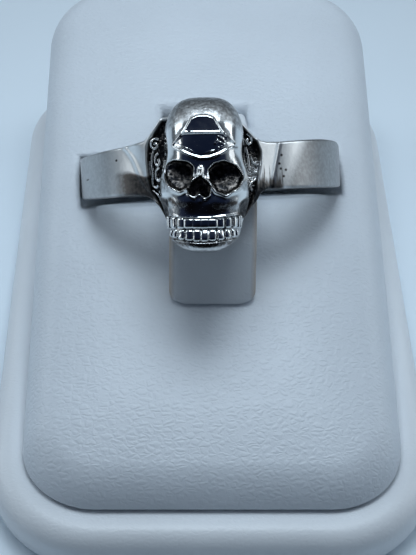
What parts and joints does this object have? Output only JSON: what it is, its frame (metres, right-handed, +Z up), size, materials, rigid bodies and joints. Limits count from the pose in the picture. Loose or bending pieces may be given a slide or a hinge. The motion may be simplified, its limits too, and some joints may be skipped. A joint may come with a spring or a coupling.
{
  "type": "skull ring on display stand",
  "caption": "Cast skull finger ring leaning in the slit of a small sloping padded display stand, held by a covered clip that passes through the finger hole.",
  "frame": {"origin": "middle of the stand's underside, which is also the middle of the bottom of the whole box", "axes": "+Z up, -Y towards the viewer and the stand's low edge, +Y towards its high end, +X to the viewer's right"},
  "size_m": [0.0356, 0.0572, 0.0266],
  "materials": {
    "base_cover": "smooth white leatherette, satin",
    "pad_cover": "fine-grained white leatherette, satin",
    "clip_cover": "matte white cover cloth",
    "silver": "polished cast silver, blackened in the recesses"
  },
  "bodies": {
    "root": {"stand_base": "base_cover", "stand_pad": "pad_cover", "ring_tongue": "clip_cover", "skull_ring": "silver"}
  },
  "joints": []
}
